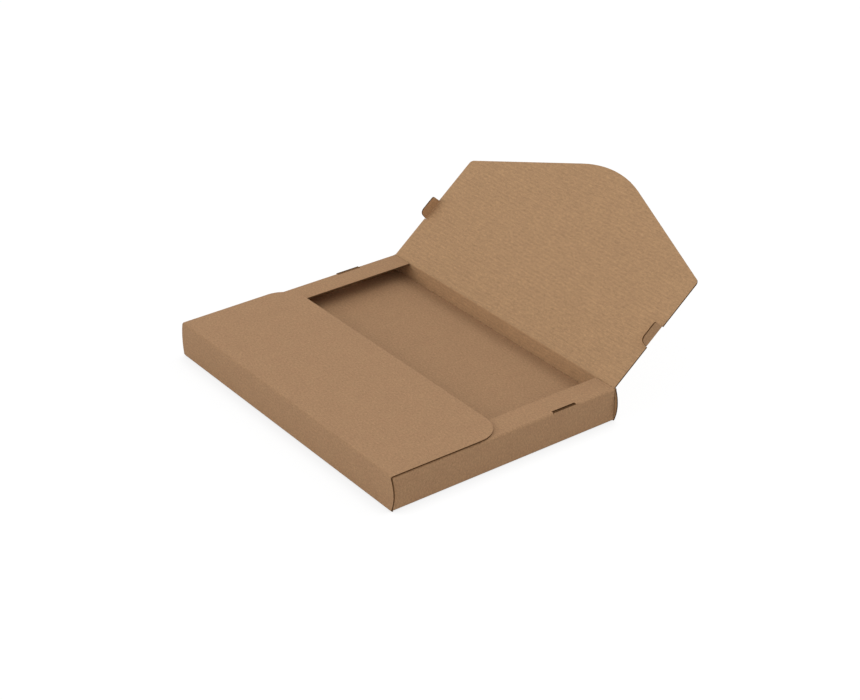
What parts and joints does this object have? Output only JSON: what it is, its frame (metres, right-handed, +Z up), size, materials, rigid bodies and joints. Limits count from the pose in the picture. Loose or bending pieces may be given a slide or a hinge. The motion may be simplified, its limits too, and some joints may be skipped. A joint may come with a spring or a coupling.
{
  "type": "envelope box",
  "caption": "Shallow folded corrugated-card box for papers, with a raised floor, a fixed front panel over side flanges and a hinged, envelope-pointed lid with side lock tabs.",
  "frame": {"origin": "centre of the tray's base, on its underside", "axes": "+X along the hinge, from left to right of the box; +Y from the front wall to the back wall; +Z up"},
  "size_m": [0.3116, 0.3542, 0.1339],
  "materials": {
    "kraft_card": "matte"
  },
  "bodies": {
    "tray": {"tray": "kraft_card", "raised_floor": "kraft_card"},
    "lid": {"lid": "kraft_card"}
  },
  "joints": [
    {"name": "lid_hinge", "type": "hinge", "parent": "tray", "child": "lid", "pos_m": [0, 0.1119, 0.03045], "axis": [1, 0, 0], "range_deg": [-49, 140]}
  ]
}
